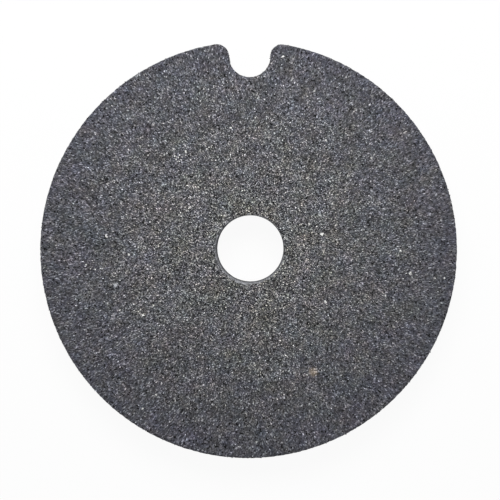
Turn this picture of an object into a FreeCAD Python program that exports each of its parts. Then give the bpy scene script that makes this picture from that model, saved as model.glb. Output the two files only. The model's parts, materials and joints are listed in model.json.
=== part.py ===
"""Flat round grinding stone of coarse silicon carbide, pressed and fired as one piece.

It is a plain straight-sided disc with a bore for the spindle and one U-shaped notch in the rim,
which drops over a locating pin so that the stone can't turn in its seat. The notch's two lips
are rounded where they meet the rim, and every edge of both faces has a small worn round.

The frame: the origin is on the spindle axis at half the thickness, +Z runs along the spindle
axis and +Y points from the axis to the middle of the notch. Lengths are in millimetres.
"""

import FreeCAD
import Part
import Sketcher
import math
import os

SIZES = [
    ("outer_diameter", 200.0, "across the rim"),
    ("thickness", 20.0, "face to face"),
    ("bore_diameter", 33.0, "spindle hole"),
    ("notch_width", 20.0, "across the round floor of the notch"),
    ("notch_depth", 17.1, "from the rim circle in to the floor of the notch"),
    ("notch_lip_radius", 5.5, "round where the notch opens into the rim"),
    ("edge_round", 0.6, "worn round along every edge of both faces"),
]

# Distance within which two lengths count as the same, for finding edges
NEAR = 1e-4

# How a sketch's constraints number the points of a curve. The sketch's origin is its X axis's start
START, END, CENTRE = range(1, 4)
X_AXIS = -1


def make_sizes(doc):
    """Puts the driving dimensions in a spreadsheet, one row each, with the name as the alias."""
    sheet = doc.addObject("Spreadsheet::Sheet", "Sizes")
    for row, (name, value, note) in enumerate(SIZES, start=1):
        sheet.set(f"A{row}", name)
        sheet.set(f"B{row}", str(value))
        sheet.setAlias(f"B{row}", name)
        sheet.set(f"C{row}", note)
    doc.recompute()
    return sheet


def origin_plane(body, role):
    return next(f for f in body.Origin.OriginFeatures if f.Role == role)


def flat_sketch(body, name):
    """A sketch on the body's own XY plane, which is the middle of the stone's thickness."""
    sketch = body.newObject("Sketcher::SketchObject", name)
    sketch.AttachmentSupport = [(origin_plane(body, "XY_Plane"), "")]
    sketch.MapMode = "FlatFace"
    return sketch


def bind(sketch, constraint, name, formula):
    """Adds a dimension to the sketch and ties it to the spreadsheet."""
    row = sketch.addConstraint(constraint)
    sketch.renameConstraint(row, name)
    sketch.setExpression(f"Constraints.{name}", formula)


def add_circle(sketch, diameter, name, formula):
    """A circle at the sketch's origin whose diameter follows the spreadsheet."""
    origin = FreeCAD.Vector(0, 0, 0)
    up = FreeCAD.Vector(0, 0, 1)
    circle = sketch.addGeometry(Part.Circle(origin, up, diameter / 2))
    on_axis = Sketcher.Constraint("Coincident", circle, CENTRE, X_AXIS, START)
    sketch.addConstraint(on_axis)
    bind(sketch, Sketcher.Constraint("Diameter", circle, diameter), name, formula)


def add_disc(body, sheet):
    """The pressed blank: the rim and the bore are concentric circles, padded both ways."""
    sketch = flat_sketch(body, "DiscOutline")
    add_circle(sketch, sheet.outer_diameter, "Rim", "Sizes.outer_diameter")
    add_circle(sketch, sheet.bore_diameter, "Bore", "Sizes.bore_diameter")

    disc = body.newObject("PartDesign::Pad", "Disc")
    disc.Profile = sketch
    disc.Midplane = True
    disc.setExpression("Length", "Sizes.thickness")
    return disc


def add_notch(body, sheet):
    """One U-shaped notch cut right through on the +Y side of the rim.

    Its floor is half round, and its two straight walls run out past the rim.
    """
    half_width = sheet.notch_width / 2
    rim_radius = sheet.outer_diameter / 2
    centre_y = rim_radius - sheet.notch_depth + half_width
    mouth_y = rim_radius + half_width
    up = FreeCAD.Vector(0, 0, 1)
    left_end = FreeCAD.Vector(-half_width, centre_y, 0)
    left_mouth = FreeCAD.Vector(-half_width, mouth_y, 0)
    right_mouth = FreeCAD.Vector(half_width, mouth_y, 0)
    right_end = FreeCAD.Vector(half_width, centre_y, 0)

    sketch = flat_sketch(body, "NotchOutline")
    round_floor = Part.Circle(FreeCAD.Vector(0, centre_y, 0), up, half_width)
    floor = sketch.addGeometry(Part.ArcOfCircle(round_floor, math.pi, 2 * math.pi))
    left_wall = sketch.addGeometry(Part.LineSegment(left_mouth, left_end))
    mouth = sketch.addGeometry(Part.LineSegment(right_mouth, left_mouth))
    right_wall = sketch.addGeometry(Part.LineSegment(right_end, right_mouth))
    sketch.addConstraint(
        [
            Sketcher.Constraint("Tangent", floor, START, left_wall, END),
            Sketcher.Constraint("Tangent", floor, END, right_wall, START),
            Sketcher.Constraint("Coincident", right_wall, END, mouth, START),
            Sketcher.Constraint("Coincident", mouth, END, left_wall, START),
            Sketcher.Constraint("Vertical", left_wall),
            Sketcher.Constraint("Vertical", right_wall),
            Sketcher.Constraint("Horizontal", mouth),
            Sketcher.Constraint("Vertical", X_AXIS, START, floor, CENTRE),
        ]
    )
    bind(
        sketch,
        Sketcher.Constraint("Diameter", floor, sheet.notch_width),
        "NotchWidth",
        "Sizes.notch_width",
    )
    bind(
        sketch,
        Sketcher.Constraint("DistanceY", X_AXIS, START, floor, CENTRE, centre_y),
        "FloorCentre",
        "Sizes.outer_diameter / 2 - Sizes.notch_depth + Sizes.notch_width / 2",
    )
    bind(
        sketch,
        Sketcher.Constraint("DistanceY", X_AXIS, START, mouth, START, mouth_y),
        "PastRim",
        "Sizes.outer_diameter / 2 + Sizes.notch_width / 2",
    )

    notch = body.newObject("PartDesign::Pocket", "Notch")
    notch.Profile = sketch
    notch.Midplane = True
    notch.Type = "ThroughAll"
    return notch


def notch_lip_edges(shape, rim_radius, half_width):
    """Names of the two upright edges where the notch opens into the rim."""
    names = []
    for number, edge in enumerate(shape.Edges, start=1):
        ends = [vertex.Point for vertex in edge.Vertexes]
        if len(ends) != 2:
            continue
        upright = (ends[0] - ends[1]).cross(FreeCAD.Vector(0, 0, 1)).Length < NEAR
        on_rim = all(abs((p.x**2 + p.y**2) ** 0.5 - rim_radius) < NEAR for p in ends)
        at_notch = all(abs(p.x) < half_width + NEAR and p.y > 0 for p in ends)
        if upright and on_rim and at_notch:
            names.append(f"Edge{number}")
    return names


def edges_of_faces(shape, half_thickness):
    """Names of the edges that bound the two flat faces."""
    names = []
    for number, edge in enumerate(shape.Edges, start=1):
        box = edge.BoundBox
        flat = box.ZLength < NEAR
        if flat and abs(abs(box.ZMin) - half_thickness) < NEAR:
            names.append(f"Edge{number}")
    return names


def build_stone(doc, sheet):
    body = doc.addObject("PartDesign::Body", "grinding_stone")
    body.Label = "grinding_stone"
    add_disc(body, sheet)
    notch = add_notch(body, sheet)
    doc.recompute()

    lips = body.newObject("PartDesign::Fillet", "NotchLips")
    rim_radius = sheet.outer_diameter / 2
    lips.Base = (notch, notch_lip_edges(notch.Shape, rim_radius, sheet.notch_width / 2))
    lips.setExpression("Radius", "Sizes.notch_lip_radius")
    doc.recompute()

    rounds = body.newObject("PartDesign::Fillet", "EdgeRounds")
    rounds.Base = (lips, edges_of_faces(lips.Shape, sheet.thickness / 2))
    rounds.setExpression("Radius", "Sizes.edge_round")
    doc.recompute()
    body.Tip = rounds
    return body


def check(doc, bodies):
    """Stops the build if any object failed to recompute or any piece isn't one sound solid."""
    for thing in doc.Objects:
        if "Invalid" in thing.State or "Error" in thing.State:
            raise RuntimeError(f"{thing.Name} did not build: {thing.State}")
        if thing.isDerivedFrom("PartDesign::Pocket"):
            if thing.Shape.Volume >= thing.BaseFeature.Shape.Volume:
                raise RuntimeError(f"{thing.Name} cut nothing")
    for body in bodies:
        if body.Shape.isNull() or not body.Shape.isValid():
            raise RuntimeError(f"{body.Label} has no valid shape")
        if len(body.Shape.Solids) != 1:
            raise RuntimeError(f"{body.Label} is not one solid")


def main():
    doc = FreeCAD.newDocument("GrindingStone")
    sheet = make_sizes(doc)
    bodies = [build_stone(doc, sheet)]
    doc.recompute()
    check(doc, bodies)

    os.makedirs("parts", exist_ok=True)
    for body in bodies:
        body.Shape.exportStep(f"parts/{body.Label}.step")
        box = body.Shape.optimalBoundingBox(False)
        print(
            f"{body.Label}: {box.XLength:.2f} x {box.YLength:.2f} x {box.ZLength:.2f} mm,"
            f" {body.Shape.Volume / 1000:.2f} cm3"
        )


main()
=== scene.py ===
"""A coarse grinding stone of black silicon carbide, seen from above on a white table."""

import json
import math

import bmesh
import bpy
from mathutils import Euler, Matrix, Vector, noise
from mathutils.bvhtree import BVHTree


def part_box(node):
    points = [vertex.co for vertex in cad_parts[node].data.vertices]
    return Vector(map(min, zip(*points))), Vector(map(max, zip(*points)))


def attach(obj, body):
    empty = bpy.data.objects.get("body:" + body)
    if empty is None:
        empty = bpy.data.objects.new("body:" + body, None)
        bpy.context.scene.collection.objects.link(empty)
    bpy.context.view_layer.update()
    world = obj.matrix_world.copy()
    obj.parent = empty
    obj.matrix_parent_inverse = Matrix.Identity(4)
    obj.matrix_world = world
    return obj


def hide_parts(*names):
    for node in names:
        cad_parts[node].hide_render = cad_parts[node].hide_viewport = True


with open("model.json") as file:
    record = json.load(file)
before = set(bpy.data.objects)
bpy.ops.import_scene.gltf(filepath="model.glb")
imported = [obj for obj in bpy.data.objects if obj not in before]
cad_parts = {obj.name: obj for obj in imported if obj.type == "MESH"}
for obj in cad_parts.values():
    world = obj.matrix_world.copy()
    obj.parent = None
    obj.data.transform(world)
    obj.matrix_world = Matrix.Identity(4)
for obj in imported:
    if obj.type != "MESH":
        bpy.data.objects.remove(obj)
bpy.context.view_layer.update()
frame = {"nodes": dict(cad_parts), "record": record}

MM = 0.001

# The stone's own sizes, from the frame
mounts = {mount["name"]: mount for mount in frame["record"]["mounts"]}
bore_radius = mounts["bore"]["dims"]["r_mm"] * MM
low_corner, high_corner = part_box("grinding_stone")
rim_radius = high_corner.x
upper_face = high_corner.z
lower_face = low_corner.z

# Relief of the skin: how far apart its points are, how far their rows are turned so that they
# don't show, and how far a point moves along the skin, to a grain's top or down into a pore
SKIN_GRID = 0.92 * MM
SKIN_TURN = math.radians(17)
POINT_SHIFT = 0.30 * MM
GRAIN_HEIGHT = 0.045 * MM
PORE_DEPTH = 0.16 * MM
PORE_SHARE = 0.04

# How far past the bore's radius the skin is still the bore's smooth wall
MOULD_EDGE = 0.35 * MM

# Random numbers by place: how wide the cells are that share them, and how far each draw shifts them
CHANCE_CELL = 0.45 * MM
CHANCE_SHIFT = Vector((31.7, 12.3, 57.1))

# Grains that stand out of the skin, as blocks with eight corners: their share of the skin's points,
# their size, how far out they stand, and the share of its width that a grain is sunk in the bond
GRAIN_SHARE = 0.05
GRAIN_SIZE = (0.42 * MM, 0.85 * MM)
GRAIN_OUT = 0.12 * MM
GRAIN_SUNK = 0.3

# The kinds of those grains, as the number of their material, and the shares of the first two
DARK, GREY, PALE = range(3)
DARK_SHARE = 0.45
GREY_SHARE = 0.42

# Pale grains that the photograph shows one by one: x and y from the spindle axis, and width, in mm.
# The first twelve places are as a program printed them, which searched the photograph for the
# spots that stand out most. The others were placed one by one
# Their pale colour is partly pale grit and partly painted glints.
PALE_GRAINS = [
    (77.6, -11.9, 1.7),
    (-9.2, 58.2, 1.6),
    (36.8, 52.4, 1.5),
    (-68.3, 6.3, 1.3),
    (34.4, 7.3, 1.5),
    (36.4, -25.3, 1.5),
    (72.4, -0.9, 1.4),
    (-57.7, -2.3, 1.4),
    (-51.0, -31.6, 1.4),
    (13.8, 39.5, 1.6),
    (-30.4, 46.7, 1.3),
    (17.2, -50.8, 1.1),
    (16.0, 92.6, 1.3),
    (-51.2, -75.8, 1.0),
    (-44.7, -69.2, 1.0),
    (-78.0, -7.2, 0.9),
    (-73.8, -9.3, 0.8),
    (-71.3, -8.9, 0.7),
    (-34.0, 44.1, 1.2),
    (-35.2, 43.2, 0.8),
    (-33.0, 42.9, 0.8),
    (-34.6, 42.0, 0.7),
    (-32.4, 44.3, 0.7),
    (-35.9, 44.7, 0.8),
    (-33.5, 45.2, 0.8),
    (-34.9, 44.3, 0.8),
    (-33.7, 42.3, 0.8),
    (-36.5, 48.3, 1.0),
    (-20.6, 48.3, 0.8),
    (-19.4, 49.0, 0.7),
    (27.4, -60.3, 1.0),
    (28.6, 12.0, 1.2),
    (65.1, -22.6, 1.2),
    (93.7, -14.2, 1.1),
]

# Pattern of the skin, in mm: the facets of the grit, about two to a grain of 0.6 mm, the fines
# between it, pores painted dark as painted shade, clumps of grit, and patches of colour
GRIT = 0.29
FINES = 0.22
PORE = 0.66
CLUMP = 1.6
PATCH = 12.0

# How much the grit is drawn out along the radius at the rim, and how it lies along X more than Y
DRAWN_OUT = 0.33
GRAIN_LIE = (0.9, 1.06, 1.0)

# How much the grain is squeezed along the bore's axis, which draws it out into streaks
STREAK_SQUEEZE = 0.06

# Tints of the firing's patches: what each noise gives at 0, and what it adds up to 1
BLUE_END = (0.785, 0.93, 1.215)
BLUE_TO_KHAKI = (0.43, 0.14, -0.43)
PINK_END = (0.0885, -0.0885, 0.0885)
PINK_TO_GREEN = (-0.17, 0.17, -0.17)

# The face's tint at the bore and at the rim, lighter near the bore and darker towards the rim,
# partly from wear and partly as painted shade, and the colour and share of the rim's dust
BORE_TINT = (1.35, 1.355, 1.325)
RIM_TINT = (0.89, 0.9, 1.02)
DUST = "#606061"
RIM_DUST = 0.5

# A lump of unmixed clay in the upper face: its place and width in mm, how far in and out of that
# width its edge fades, how far the grit makes it wander, how much of the skin it covers, and what
# it makes of the grit's colour, as a factor and a tone of its own
CLAY_PLACE = (30.4, -58.9, upper_face / MM)
CLAY_WIDTH = 4.0
CLAY_FADE_IN = 0.6
CLAY_FADE_OUT = 1.2
CLAY_WANDER = 0.9
CLAY_COVER = 0.85
CLAY_TINT = (2.4, 2.05, 1.6)
CLAY_TONE = (0.12, 0.095, 0.06)


def linear(hex_colour):
    """An sRGB hex colour as the linear RGBA that a shader socket takes."""
    channels = [int(hex_colour[k : k + 2], 16) / 255 for k in (1, 3, 5)]
    return [c / 12.92 if c <= 0.04045 else ((c + 0.055) / 1.055) ** 2.4 for c in channels] + [1]


def add_node(material, kind, inputs=None, **settings):
    """Adds a node with its settings. An input given a socket is linked to it, and is set otherwise."""
    made = material.node_tree.nodes.new(kind)
    for name, value in settings.items():
        setattr(made, name, value)
    for key, value in (inputs or {}).items():
        socket = made.inputs[key]
        if isinstance(value, bpy.types.NodeSocket):
            material.node_tree.links.new(value, socket)
        else:
            socket.default_value = value
    return made


def new_material(name):
    material = bpy.data.materials.new(name)
    material.use_nodes = True
    material.node_tree.nodes.clear()
    return material


def set_ramp(ramp_node, stops):
    """Gives a colour ramp its stops, as (position, hex colour) pairs."""
    ramp = ramp_node.color_ramp
    while len(ramp.elements) > 1:
        ramp.elements.remove(ramp.elements[-1])
    ramp.elements[0].position = stops[0][0]
    ramp.elements[0].color = linear(stops[0][1])
    for position, colour in stops[1:]:
        ramp.elements.new(position).color = linear(colour)


def drawn_out(material, mm, out):
    """The place in mm as the grit's pattern reads it.

    The pressing draws the grit out along the radius, more so near the rim, and lays it along X.
    """
    pull = add_node(
        material,
        "ShaderNodeMath",
        {0: out, 1: -DRAWN_OUT * MM / rim_radius, 2: 1.0},
        operation="MULTIPLY_ADD",
    ).outputs["Value"]
    pull = add_node(material, "ShaderNodeCombineXYZ", {"X": pull, "Y": pull, "Z": 1.0})
    lying = add_node(
        material, "ShaderNodeVectorMath", {0: mm, 1: GRAIN_LIE}, operation="MULTIPLY"
    )
    return add_node(
        material,
        "ShaderNodeVectorMath",
        {0: lying.outputs["Vector"], 1: pull.outputs["Vector"]},
        operation="MULTIPLY",
    ).outputs["Vector"]


def speckled(material, drawn, grit_chance):
    """The grit's colour, mostly dark with a few light facets, its fines, and its lighter clumps."""
    # The lightest stops are partly pale grit and partly painted glints of broken faces.
    tone = add_node(material, "ShaderNodeValToRGB", {"Fac": grit_chance})
    set_ramp(
        tone,
        [
            (0.0, "#050609"),
            (0.25, "#1d1e21"),
            (0.5, "#494a4d"),
            (0.75, "#6e6e70"),
            (0.9, "#959596"),
            (0.97, "#bcbbba"),
            (1.0, "#fafaf7"),
        ],
    )
    fines = add_node(material, "ShaderNodeTexVoronoi", {"Vector": drawn, "Scale": 1 / FINES})
    fines_parts = add_node(
        material, "ShaderNodeSeparateColor", {"Color": fines.outputs["Color"]}
    )
    fines_tone = add_node(
        material,
        "ShaderNodeMapRange",
        {"Value": fines_parts.outputs["Red"], "To Min": 0.15, "To Max": 1.85},
    )
    clump = add_node(
        material, "ShaderNodeTexNoise", {"Vector": drawn, "Scale": 1 / CLUMP, "Detail": 2.0}
    )
    clump_tone = add_node(
        material,
        "ShaderNodeMapRange",
        {
            "Value": clump.outputs["Fac"],
            "From Min": 0.3,
            "From Max": 0.7,
            "To Min": 0.92,
            "To Max": 1.08,
        },
    )
    grain_tone = add_node(
        material,
        "ShaderNodeMath",
        {0: fines_tone.outputs["Result"], 1: clump_tone.outputs["Result"]},
        operation="MULTIPLY",
    )
    return add_node(
        material,
        "ShaderNodeVectorMath",
        {"Vector": tone.outputs["Color"], "Scale": grain_tone.outputs["Value"]},
        operation="SCALE",
    ).outputs["Vector"]


def dusted_and_pored(material, mm, out, grit_colour):
    """The grit's colour with a dust that thickens towards the rim, and its pores as painted shade."""
    dust_share = add_node(
        material,
        "ShaderNodeMapRange",
        {
            "Value": out,
            "From Min": bore_radius / MM,
            "From Max": rim_radius / MM,
            "To Min": 0.0,
            "To Max": RIM_DUST,
        },
    )
    dusted = add_node(
        material,
        "ShaderNodeMix",
        {"Factor": dust_share.outputs["Result"], "A": grit_colour, "B": linear(DUST)},
        data_type="RGBA",
    )
    # Painted shade: the pores, too small for the mesh, are darkened almost to black.
    pore = add_node(material, "ShaderNodeTexVoronoi", {"Vector": mm, "Scale": 1 / PORE})
    pore_parts = add_node(material, "ShaderNodeSeparateColor", {"Color": pore.outputs["Color"]})
    painted_pore_shade = add_node(
        material,
        "ShaderNodeMapRange",
        {
            "Value": pore_parts.outputs["Red"],
            "From Min": 0.05,
            "From Max": 0.16,
            "To Min": 0.03,
            "To Max": 1.0,
        },
    )
    return add_node(
        material,
        "ShaderNodeVectorMath",
        {"Vector": dusted.outputs["Result"], "Scale": painted_pore_shade.outputs["Result"]},
        operation="SCALE",
    ).outputs["Vector"]


def firing_tint(material, mm):
    """Patches from the firing.

    One noise runs from blue to khaki, one from pink to green, and one from dark to light.
    """
    patch = add_node(
        material,
        "ShaderNodeTexNoise",
        {"Vector": mm, "Scale": 1 / PATCH, "Detail": 4.0, "Roughness": 0.9},
    )
    patch_parts = add_node(
        material, "ShaderNodeSeparateColor", {"Color": patch.outputs["Color"]}
    )
    blue_khaki = add_node(
        material,
        "ShaderNodeVectorMath",
        {0: patch_parts.outputs["Red"], 1: BLUE_TO_KHAKI, 2: BLUE_END},
        operation="MULTIPLY_ADD",
    )
    pink_green = add_node(
        material,
        "ShaderNodeVectorMath",
        {0: patch_parts.outputs["Green"], 1: PINK_TO_GREEN, 2: PINK_END},
        operation="MULTIPLY_ADD",
    )
    patch_tint = add_node(
        material,
        "ShaderNodeVectorMath",
        {0: blue_khaki.outputs["Vector"], 1: pink_green.outputs["Vector"]},
        operation="ADD",
    )
    patch_tone = add_node(
        material,
        "ShaderNodeMapRange",
        {
            "Value": patch_parts.outputs["Blue"],
            "From Min": 0.3,
            "From Max": 0.7,
            "To Min": 0.76,
            "To Max": 1.24,
        },
    )
    return add_node(
        material,
        "ShaderNodeVectorMath",
        {"Vector": patch_tint.outputs["Vector"], "Scale": patch_tone.outputs["Result"]},
        operation="SCALE",
    ).outputs["Vector"]


def wear_and_shade_tint(material, out):
    """Lighter and greyer near the bore, darker and bluer near the rim, partly from wear and partly as
    painted shade.
    """
    return add_node(
        material,
        "ShaderNodeMapRange",
        {
            "Vector": out,
            "From Min": (bore_radius / MM,) * 3,
            "From Max": (rim_radius / MM,) * 3,
            "To Min": BORE_TINT,
            "To Max": RIM_TINT,
        },
        data_type="FLOAT_VECTOR",
    ).outputs["Vector"]


def with_clay(material, mm, grit_chance, stone_colour):
    """The stone's colour with its lump of clay, whose edge is ragged and which tints its grit."""
    to_clay = add_node(
        material, "ShaderNodeVectorMath", {0: mm, 1: CLAY_PLACE}, operation="DISTANCE"
    )
    ragged = add_node(
        material,
        "ShaderNodeMath",
        {0: grit_chance, 1: CLAY_WANDER, 2: to_clay.outputs["Value"]},
        operation="MULTIPLY_ADD",
    )
    clay_share = add_node(
        material,
        "ShaderNodeMapRange",
        {
            "Value": ragged.outputs["Value"],
            "From Min": CLAY_WIDTH / 2 + CLAY_FADE_OUT,
            "From Max": CLAY_WIDTH / 2 - CLAY_FADE_IN,
            "To Min": 0.0,
            "To Max": CLAY_COVER,
        },
    )
    clay_colour = add_node(
        material,
        "ShaderNodeVectorMath",
        {0: stone_colour, 1: CLAY_TINT, 2: CLAY_TONE},
        operation="MULTIPLY_ADD",
    )
    return add_node(
        material,
        "ShaderNodeMix",
        {
            "Factor": clay_share.outputs["Result"],
            "A": stone_colour,
            "B": clay_colour.outputs["Vector"],
        },
        data_type="RGBA",
    ).outputs["Result"]


def grain_facing(material, grit_colour):
    """The skin's normal, leaning another way on every facet of the grit."""
    facing = add_node(material, "ShaderNodeNewGeometry").outputs["Normal"]
    slope = add_node(
        material,
        "ShaderNodeVectorMath",
        {0: grit_colour, 1: (0.7, 0.7, 0.7), 2: (-0.35, -0.35, -0.35)},
        operation="MULTIPLY_ADD",
    )
    leaning = add_node(
        material, "ShaderNodeVectorMath", {0: facing, 1: slope.outputs["Vector"]}, operation="ADD"
    )
    return add_node(
        material,
        "ShaderNodeVectorMath",
        {"Vector": leaning.outputs["Vector"]},
        operation="NORMALIZE",
    ).outputs["Vector"]


def silicon_carbide():
    """Black silicon carbide grit in a fired clay bond.

    Every grain has its own tone, slope and roughness, so the stone is matt and dark with a salt of
    light grains. Firing leaves faint patches of blue and khaki, and the face is a little lighter
    and greyer around the bore and darker towards the rim, partly from wear and partly as painted
    shade. Towards the rim a thin dust evens the grains out.
    """
    material = new_material("fired_black_silicon_carbide")
    place = add_node(material, "ShaderNodeTexCoord").outputs["Object"]
    mm = add_node(
        material, "ShaderNodeVectorMath", {"Vector": place, "Scale": 1 / MM}, operation="SCALE"
    ).outputs["Vector"]
    flat = add_node(material, "ShaderNodeVectorMath", {0: mm, 1: (1, 1, 0)}, operation="MULTIPLY")
    out = add_node(
        material, "ShaderNodeVectorMath", {"Vector": flat.outputs["Vector"]}, operation="LENGTH"
    ).outputs["Value"]

    drawn = drawn_out(material, mm, out)
    grit = add_node(material, "ShaderNodeTexVoronoi", {"Vector": drawn, "Scale": 1 / GRIT})
    grit_parts = add_node(
        material, "ShaderNodeSeparateColor", {"Color": grit.outputs["Color"]}
    ).outputs
    grit_colour = speckled(material, drawn, grit_parts["Red"])
    worn_colour = dusted_and_pored(material, mm, out, grit_colour)
    # The tint's darkening towards the rim is partly painted shade.
    tint = add_node(
        material,
        "ShaderNodeVectorMath",
        {0: firing_tint(material, mm), 1: wear_and_shade_tint(material, out)},
        operation="MULTIPLY",
    )
    stone_colour = add_node(
        material,
        "ShaderNodeVectorMath",
        {0: worn_colour, 1: tint.outputs["Vector"]},
        operation="MULTIPLY",
    ).outputs["Vector"]
    roughness = add_node(
        material,
        "ShaderNodeMapRange",
        {"Value": grit_parts["Blue"], "To Min": 0.55, "To Max": 0.95},
    )

    shader = add_node(
        material,
        "ShaderNodeBsdfPrincipled",
        {
            "Base Color": with_clay(material, mm, grit_parts["Green"], stone_colour),
            "Roughness": roughness.outputs["Result"],
            "Specular IOR Level": 0.15,
            "Normal": grain_facing(material, grit.outputs["Color"]),
        },
    )
    add_node(material, "ShaderNodeOutputMaterial", {"Surface": shader.outputs["BSDF"]})
    return material


def moulded_skin():
    """The bore's wall, pressed smooth against the mould's pin and streaked along its length.

    It is matt and a little lighter than the stone, with painted shade at its lower end, and painted
    light towards -X and painted shade towards +X.
    """
    material = new_material("smooth_moulded_bond")
    place = add_node(material, "ShaderNodeTexCoord").outputs["Object"]
    squeezed = add_node(
        material,
        "ShaderNodeVectorMath",
        {0: place, 1: (1 / MM, 1 / MM, STREAK_SQUEEZE / MM)},
        operation="MULTIPLY",
    )
    streaks = add_node(
        material,
        "ShaderNodeTexVoronoi",
        {"Vector": squeezed.outputs["Vector"], "Scale": 1 / GRIT},
    )
    streak_parts = add_node(
        material, "ShaderNodeSeparateColor", {"Color": streaks.outputs["Color"]}
    )
    streak_tone = add_node(
        material,
        "ShaderNodeMapRange",
        {"Value": streak_parts.outputs["Red"], "To Min": 0.6, "To Max": 1.4},
    )
    place_parts = add_node(material, "ShaderNodeSeparateXYZ", {"Vector": place}).outputs
    # Painted shade: the wall is darkened towards its lower end, next to the table.
    painted_end_shade = add_node(
        material,
        "ShaderNodeMapRange",
        {
            "Value": place_parts["Z"],
            "From Min": lower_face + 3 * MM,
            "From Max": lower_face + 13 * MM,
            "To Min": 0.12,
            "To Max": 1.0,
        },
    )
    # Painted light and shade: the wall is lighter towards -X and darker towards +X.
    painted_side_light_and_shade = add_node(
        material,
        "ShaderNodeMapRange",
        {
            "Value": place_parts["X"],
            "From Min": -bore_radius,
            "From Max": bore_radius,
            "To Min": 1.3,
            "To Max": 0.75,
        },
    )
    tone = add_node(
        material,
        "ShaderNodeMath",
        {0: streak_tone.outputs["Result"], 1: painted_end_shade.outputs["Result"]},
        operation="MULTIPLY",
    )
    tone = add_node(
        material,
        "ShaderNodeMath",
        {0: tone.outputs["Value"], 1: painted_side_light_and_shade.outputs["Result"]},
        operation="MULTIPLY",
    )
    colour = add_node(
        material,
        "ShaderNodeVectorMath",
        {"Vector": linear("#999a9e")[:3], "Scale": tone.outputs["Value"]},
        operation="SCALE",
    )
    shader = add_node(
        material,
        "ShaderNodeBsdfPrincipled",
        {"Base Color": colour.outputs["Vector"], "Roughness": 0.9, "Specular IOR Level": 0.0},
    )
    add_node(material, "ShaderNodeOutputMaterial", {"Surface": shader.outputs["BSDF"]})
    return material


def splinter(name, colour, roughness):
    """A crushed grain, glassy where it broke, each facet of it a little lighter or darker."""
    material = new_material(name)
    place = add_node(material, "ShaderNodeTexCoord").outputs["Object"]
    facets = add_node(
        material, "ShaderNodeTexVoronoi", {"Vector": place, "Scale": 1 / (GRIT * MM)}
    )
    facet_parts = add_node(
        material, "ShaderNodeSeparateColor", {"Color": facets.outputs["Color"]}
    )
    facet_tone = add_node(
        material,
        "ShaderNodeMapRange",
        {"Value": facet_parts.outputs["Red"], "To Min": 0.75, "To Max": 1.25},
    )
    facet_roughness = add_node(
        material,
        "ShaderNodeMapRange",
        {
            "Value": facet_parts.outputs["Green"],
            "To Min": roughness - 0.15,
            "To Max": roughness + 0.15,
        },
    )
    facet_colour = add_node(
        material,
        "ShaderNodeVectorMath",
        {"Vector": linear(colour)[:3], "Scale": facet_tone.outputs["Result"]},
        operation="SCALE",
    )
    shader = add_node(
        material,
        "ShaderNodeBsdfPrincipled",
        {
            "Base Color": facet_colour.outputs["Vector"],
            "Roughness": facet_roughness.outputs["Result"],
            "Specular IOR Level": 0.5,
        },
    )
    add_node(material, "ShaderNodeOutputMaterial", {"Surface": shader.outputs["BSDF"]})
    return material


def even_skin(packed_mesh):
    """An even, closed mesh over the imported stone, one point to about two grains of grit."""
    shape = bmesh.new()
    shape.from_mesh(packed_mesh)
    bmesh.ops.remove_doubles(shape, verts=shape.verts, dist=0.001 * MM)
    surface = BVHTree.FromBMesh(shape)
    bmesh.ops.transform(shape, matrix=Matrix.Rotation(SKIN_TURN, 4, "Z"), verts=shape.verts)
    mesh = bpy.data.meshes.new("stone_blank")
    shape.to_mesh(mesh)
    shape.free()

    blank = bpy.data.objects.new("stone_blank", mesh)
    bpy.context.scene.collection.objects.link(blank)
    remesh = blank.modifiers.new("even_skin", "REMESH")
    remesh.mode = "VOXEL"
    remesh.voxel_size = SKIN_GRID
    depsgraph = bpy.context.evaluated_depsgraph_get()
    even = bpy.data.meshes.new_from_object(blank.evaluated_get(depsgraph))
    even.transform(Matrix.Rotation(-SKIN_TURN, 4, "Z"))
    bpy.data.objects.remove(blank)
    return even, surface


def chances(place, draw):
    """Three numbers from 0 to 1 that depend only on the place and on which draw it is."""
    return noise.cell_vector(place / CHANCE_CELL + CHANCE_SHIFT * draw)


def moulded(place):
    """Whether a place is on the bore's wall, which the mould leaves smooth."""
    return math.hypot(place.x, place.y) < bore_radius + MOULD_EDGE


def roughen(mesh, surface):
    """Moves each point of the skin to the top of a grain or into a pore."""
    for vertex in mesh.vertices:
        chance = chances(vertex.co, 1)
        shift = (chances(vertex.co, 2) - Vector((0.5, 0.5, 0.5))) * 2 * POINT_SHIFT
        on_surface, normal, _, _ = surface.find_nearest(vertex.co)
        shift -= normal * shift.dot(normal)
        on_surface, normal, _, _ = surface.find_nearest(on_surface + shift)
        rise = (chance.x - 0.5) * 2 * GRAIN_HEIGHT
        if chance.y < PORE_SHARE:
            rise = -PORE_DEPTH * (0.4 + 0.6 * chance.z)
        if moulded(on_surface):
            rise = 0
        vertex.co = on_surface + normal * rise


def add_grain(grains, on_surface, normal, width, seed, kind):
    """One broken block, its eight corners pulled about. It is made apart and joined, for speed.

    Most blocks are about as long as they are wide, and a few are up to twice as long.
    """
    place = on_surface + normal * (GRAIN_OUT - width * GRAIN_SUNK)
    turn = chances(seed, 3) * 2 * math.pi
    chance = chances(seed, 4)
    stretch = Vector((0.7 + 0.9 * chance.x**3, 0.7 + 0.4 * chance.y, 0.7 + 0.4 * chance.z))
    matrix = Matrix.LocRotScale(place, Euler(turn), stretch * width)
    block = bmesh.new()
    bmesh.ops.create_cube(block, size=0.8, matrix=matrix)
    for number, corner in enumerate(block.verts):
        pull = chances(seed + Vector((number * MM, 0, 0)), 5) - Vector((0.5, 0.5, 0.5))
        corner.co += pull * width * 0.4
    for face in block.faces:
        face.material_index = kind
    block.to_mesh(bpy.data.meshes["grain_block"])
    grains.from_mesh(bpy.data.meshes["grain_block"])
    block.free()


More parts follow.
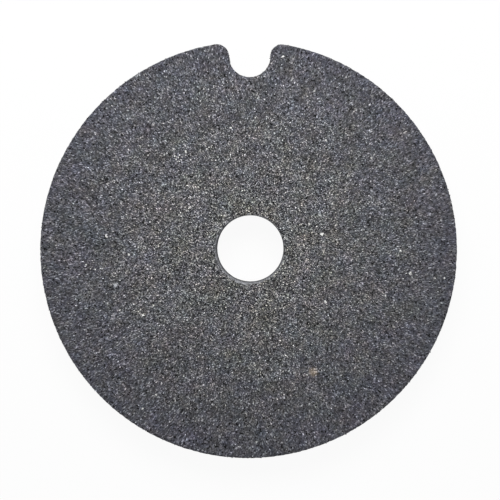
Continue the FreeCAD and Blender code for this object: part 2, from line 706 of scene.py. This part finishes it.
def make_proud_grains(skin, surface):
    """The grains that stand out of the skin all over the stone, dark, glassy or pale."""
    shape = bmesh.new()
    block = bpy.data.meshes.new("grain_block")
    for vertex in skin.vertices:
        chance = chances(vertex.co, 6)
        if chance.x > GRAIN_SHARE or moulded(vertex.co):
            continue
        on_surface, normal, _, _ = surface.find_nearest(vertex.co)
        width = GRAIN_SIZE[0] + (GRAIN_SIZE[1] - GRAIN_SIZE[0]) * chance.y**2
        kind = DARK if chance.z < DARK_SHARE else GREY if chance.z < DARK_SHARE + GREY_SHARE else PALE
        add_grain(shape, on_surface, normal, width, vertex.co, kind)
    for x, y, width in PALE_GRAINS:
        place = Vector((x * MM, y * MM, upper_face))
        add_grain(shape, place, Vector((0, 0, 1)), width * MM, place, PALE)

    mesh = bpy.data.meshes.new("proud_grains")
    shape.to_mesh(mesh)
    shape.free()
    bpy.data.meshes.remove(block)
    mesh.materials.append(splinter("dark_silicon_carbide_splinter", "#3a3a3e", 0.35))
    mesh.materials.append(splinter("grey_silicon_carbide_splinter", "#7b7b7e", 0.3))
    # Pale grains: in part pale grit, in part painted glints of broken faces.
    mesh.materials.append(splinter("pale_grain_and_painted_glint", "#f0f0ee", 0.4))
    grains = bpy.data.objects.new("proud_grains", mesh)
    bpy.context.scene.collection.objects.link(grains)
    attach(grains, "root")


def make_stone():
    """The stone's skin in the place of its plain solid, and the grains that stand out of it."""
    skin, surface = even_skin(frame["nodes"]["grinding_stone"].data)
    roughen(skin, surface)
    skin.materials.clear()
    skin.materials.append(silicon_carbide())
    skin.materials.append(moulded_skin())
    for face in skin.polygons:
        face.material_index = 1 if moulded(face.center) else 0
    stone = bpy.data.objects.new("stone", skin)
    bpy.context.scene.collection.objects.link(stone)
    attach(stone, "root")
    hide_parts("grinding_stone")
    make_proud_grains(skin, surface)


# Camera: its height over the upper face, the point of that face under it, and the point it looks at.
# The photograph was taken a little off the axis and tilted, and the lens shift gives its framing.
CAMERA_HEIGHT = 450 * MM
CAMERA_FOOT = Vector((7.5 * MM, 12.0 * MM))
CAMERA_AIM = Vector((19.3 * MM, 16.7 * MM))
CAMERA_ROLL = math.radians(-0.09)
CAMERA_LENS = 67.5
CAMERA_SHIFT = (-0.080, -0.071)


def make_camera():
    data = bpy.data.cameras.new("camera")
    data.sensor_width = 36
    data.lens = CAMERA_LENS
    data.shift_x, data.shift_y = CAMERA_SHIFT
    camera = bpy.data.objects.new("camera", data)
    bpy.context.scene.collection.objects.link(camera)
    camera.location = (CAMERA_FOOT.x, CAMERA_FOOT.y, upper_face + CAMERA_HEIGHT)
    back = (camera.location - Vector((CAMERA_AIM.x, CAMERA_AIM.y, upper_face))).normalized()
    side = Vector((-math.sin(CAMERA_ROLL), math.cos(CAMERA_ROLL), 0)).cross(back).normalized()
    turn = Matrix((side, back.cross(side), back)).transposed()
    camera.rotation_euler = turn.to_euler()
    bpy.context.scene.camera = camera


def seen_directly(material):
    """1 on rays from the camera, or by way of a gloss or a glass, and 0 on rays that light things."""
    path = add_node(material, "ShaderNodeLightPath").outputs
    seen = add_node(
        material,
        "ShaderNodeMath",
        {0: path["Is Camera Ray"], 1: path["Is Glossy Ray"]},
        operation="MAXIMUM",
    )
    return add_node(
        material,
        "ShaderNodeMath",
        {0: seen.outputs["Value"], 1: path["Is Transmission Ray"]},
        operation="MAXIMUM",
    ).outputs["Value"]


# The table: how far it reaches, in metres, how far it lies under the lower face, whose proud grains
# it meets, and how much of what is seen of it is plain white, which leaves the shadow faint
TABLE_REACH = 3
TABLE_GAP = 0.25 * MM
TABLE_WHITE = 0.94


def make_table():
    """A white table that keeps a faint shadow."""
    shape = bmesh.new()
    bmesh.ops.create_grid(shape, x_segments=1, y_segments=1, size=TABLE_REACH)
    under = Vector((0, 0, lower_face - TABLE_GAP))
    bmesh.ops.translate(shape, vec=under, verts=shape.verts)
    mesh = bpy.data.meshes.new("table")
    shape.to_mesh(mesh)
    shape.free()
    table = bpy.data.objects.new("table", mesh)
    bpy.context.scene.collection.objects.link(table)

    material = new_material("white_table")
    share = add_node(
        material, "ShaderNodeMath", {0: seen_directly(material), 1: TABLE_WHITE}, operation="MULTIPLY"
    )
    paint = add_node(material, "ShaderNodeBsdfDiffuse", {"Color": linear("#fafafa")})
    glow = add_node(material, "ShaderNodeEmission", {"Color": linear("#ffffff")})
    mixed = add_node(
        material,
        "ShaderNodeMixShader",
        {"Fac": share.outputs["Value"], 1: paint.outputs["BSDF"], 2: glow.outputs["Emission"]},
    )
    add_node(material, "ShaderNodeOutputMaterial", {"Surface": mixed.outputs["Shader"]})
    mesh.materials.append(material)


def make_light():
    """A white room, and a window high up beyond the notch."""
    room = bpy.data.worlds.new("room")
    bpy.context.scene.world = room
    room.use_nodes = True
    room.node_tree.nodes.clear()
    strength = add_node(
        room, "ShaderNodeMapRange", {"Value": seen_directly(room), "To Min": 0.22, "To Max": 1.0}
    )
    sky = add_node(
        room,
        "ShaderNodeBackground",
        {"Color": linear("#ffffff"), "Strength": strength.outputs["Result"]},
    )
    add_node(room, "ShaderNodeOutputWorld", {"Surface": sky.outputs["Background"]})

    data = bpy.data.lights.new("window", "AREA")
    data.shape = "RECTANGLE"
    data.size = 0.4
    data.size_y = 0.3
    data.energy = 3.2
    window = bpy.data.objects.new("window", data)
    bpy.context.scene.collection.objects.link(window)
    window.location = (-0.02, 0.335, 0.455)
    window.rotation_euler = (-window.location).to_track_quat("-Z", "Y").to_euler()


make_camera()
make_stone()
make_table()
make_light()

bpy.context.scene.view_settings.view_transform = "Standard"
